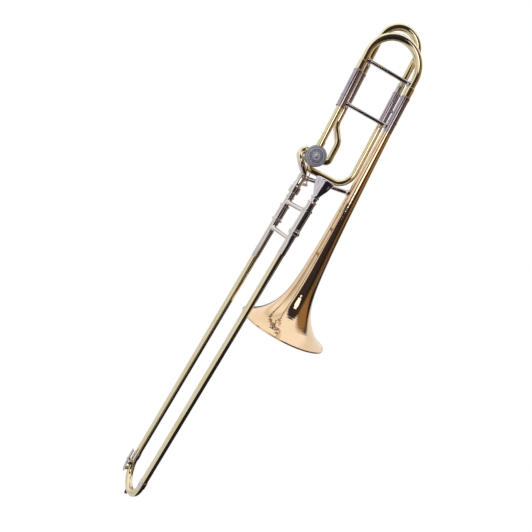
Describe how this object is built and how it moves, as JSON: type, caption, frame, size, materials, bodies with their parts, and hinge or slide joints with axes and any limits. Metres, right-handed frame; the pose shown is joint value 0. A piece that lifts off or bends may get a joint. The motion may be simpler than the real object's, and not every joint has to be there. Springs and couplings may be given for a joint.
{
  "type": "tenor trombone",
  "caption": "Slide trombone with a flared bell, rotary valve with thumb lever, tuning slides, telescoping hand slide and fitted mouthpiece.",
  "frame": {"origin": "joint face between the bell section's slide receiver and the slide's taper, on the axis of the left slide tube, where the left hand holds the instrument", "axes": "+X forward along the hand slide towards the bow, +Z from the slide towards the bell in the bell's plane, +Y to the player's left"},
  "size_m": [1.1834, 0.2032, 0.2767],
  "materials": {
    "rose_brass": "lacquered, polished",
    "yellow_brass": "lacquered, polished",
    "nickel_silver": "polished",
    "valve_metal": "turned",
    "silver_plate": "mirror polished",
    "rubber": "matte",
    "cork": "matte"
  },
  "bodies": {
    "bell_section": {"bell_flare": "rose_brass", "bell_stem": "rose_brass", "bell_rim_wire": "nickel_silver", "tuning_sleeve_low": "nickel_silver", "tuning_sleeve_bell": "nickel_silver", "f_sleeve_low": "nickel_silver", "f_sleeve_high": "nickel_silver", "valve_outlet_tube": "yellow_brass", "f_tube_low": "yellow_brass", "f_tube_high": "yellow_brass", "gooseneck": "yellow_brass", "slide_receiver": "nickel_silver", "lower_brace": "nickel_silver", "bottom_brace": "nickel_silver", "f_pillar_low": "nickel_silver", "f_pillar_high": "nickel_silver", "valve_casing": "yellow_brass", "bearing_plate": "valve_metal", "valve_cap": "valve_metal", "stop_plate": "nickel_silver", "stop_bumper_rest": "rubber", "stop_bumper_pressed": "rubber", "lever_saddle": "nickel_silver", "lever_spring": "nickel_silver"},
    "main_tuning_slide": {"tuning_crook": "yellow_brass", "tuning_leg_low": "nickel_silver", "tuning_leg_bell": "nickel_silver", "tuning_ferrule_low": "yellow_brass", "tuning_ferrule_bell": "yellow_brass", "tuning_brace": "nickel_silver"},
    "f_tuning_slide": {"f_crook": "yellow_brass", "f_leg_low": "nickel_silver", "f_leg_high": "nickel_silver"},
    "rotor": {"valve_rotor": "valve_metal", "stop_arm": "nickel_silver"},
    "thumb_lever": {"thumb_lever": "nickel_silver"},
    "linkage": {"linkage_rod": "nickel_silver"},
    "slide_section": {"slide_taper": "nickel_silver", "cork_barrel_left": "nickel_silver", "cork_barrel_right": "nickel_silver", "inner_tube_left": "nickel_silver", "inner_tube_right": "nickel_silver", "inner_brace": "nickel_silver", "mouthpiece_receiver": "nickel_silver"},
    "lock_nut": {"lock_nut": "nickel_silver"},
    "mouthpiece": {"mouthpiece": "silver_plate"},
    "outer_slide": {"outer_tube_left": "yellow_brass", "outer_tube_right": "yellow_brass", "outer_sleeve_left": "nickel_silver", "outer_sleeve_right": "nickel_silver", "hand_brace": "nickel_silver", "bow_ferrule_left": "nickel_silver", "bow_ferrule_right": "nickel_silver", "bow": "yellow_brass", "bow_bumper": "rubber", "water_key_saddle": "nickel_silver"},
    "slide_lock": {"slide_lock_ring": "nickel_silver"},
    "water_key": {"water_key": "nickel_silver", "water_key_cork": "cork"}
  },
  "joints": [
    {"name": "slide_swivel", "type": "hinge", "parent": "bell_section", "child": "slide_section", "pos_m": [0, 0, 0], "axis": [1, 0, 0], "range_deg": [-8, 22]},
    {"name": "hand_slide", "type": "slide", "parent": "slide_section", "child": "outer_slide", "axis": [1, 0, 0], "range_m": [0, 0.6]},
    {"name": "slide_lock_turn", "type": "hinge", "parent": "outer_slide", "child": "slide_lock", "pos_m": [0.0801, -0.08188, 0.03225], "axis": [1, 0, 0], "range_deg": [0, 40]},
    {"name": "water_key_press", "type": "hinge", "parent": "outer_slide", "child": "water_key", "pos_m": [0.728, -0.00607, -0.01158], "axis": [0, 0.9304, -0.3665], "range_deg": [0, 12], "stiffness_Nm_per_rad": 0.02, "springref_deg": -34.38},
    {"name": "lock_nut_turn", "type": "hinge", "parent": "slide_section", "child": "lock_nut", "pos_m": [0.0045, 0, 0], "axis": [1, 0, 0], "continuous": true},
    {"name": "mouthpiece_pull", "type": "slide", "parent": "slide_section", "child": "mouthpiece", "axis": [-1, 0, 0], "range_m": [0, 0.06]},
    {"name": "main_tuning_pull", "type": "slide", "parent": "bell_section", "child": "main_tuning_slide", "axis": [-0.9979, 0, -0.0645], "range_m": [0, 0.06]},
    {"name": "f_tuning_pull", "type": "slide", "parent": "bell_section", "child": "f_tuning_slide", "axis": [-0.9979, 0, -0.0645], "range_m": [0, 0.055]},
    {"name": "valve_turn", "type": "hinge", "parent": "bell_section", "child": "rotor", "pos_m": [-0.07716, 0, 0.00002], "axis": [0, 1, 0], "range_deg": [0, 90]},
    {"name": "thumb_press", "type": "hinge", "parent": "bell_section", "child": "thumb_lever", "pos_m": [-0.01197, 0, -0.00077], "axis": [0, 1, 0], "range_deg": [0, 32.8], "stiffness_Nm_per_rad": 0.12, "springref_deg": -28.65},
    {"name": "linkage_swing", "type": "hinge", "parent": "thumb_lever", "child": "linkage", "pos_m": [-0.01967, 0.03, 0.02026], "axis": [0, 1, 0], "range_deg": [-32.8, 0]}
  ],
  "couplings": [
    {"joint": "thumb_press", "follows": "valve_turn", "ratio": 0.36444},
    {"joint": "linkage_swing", "follows": "valve_turn", "ratio": -0.36444}
  ]
}
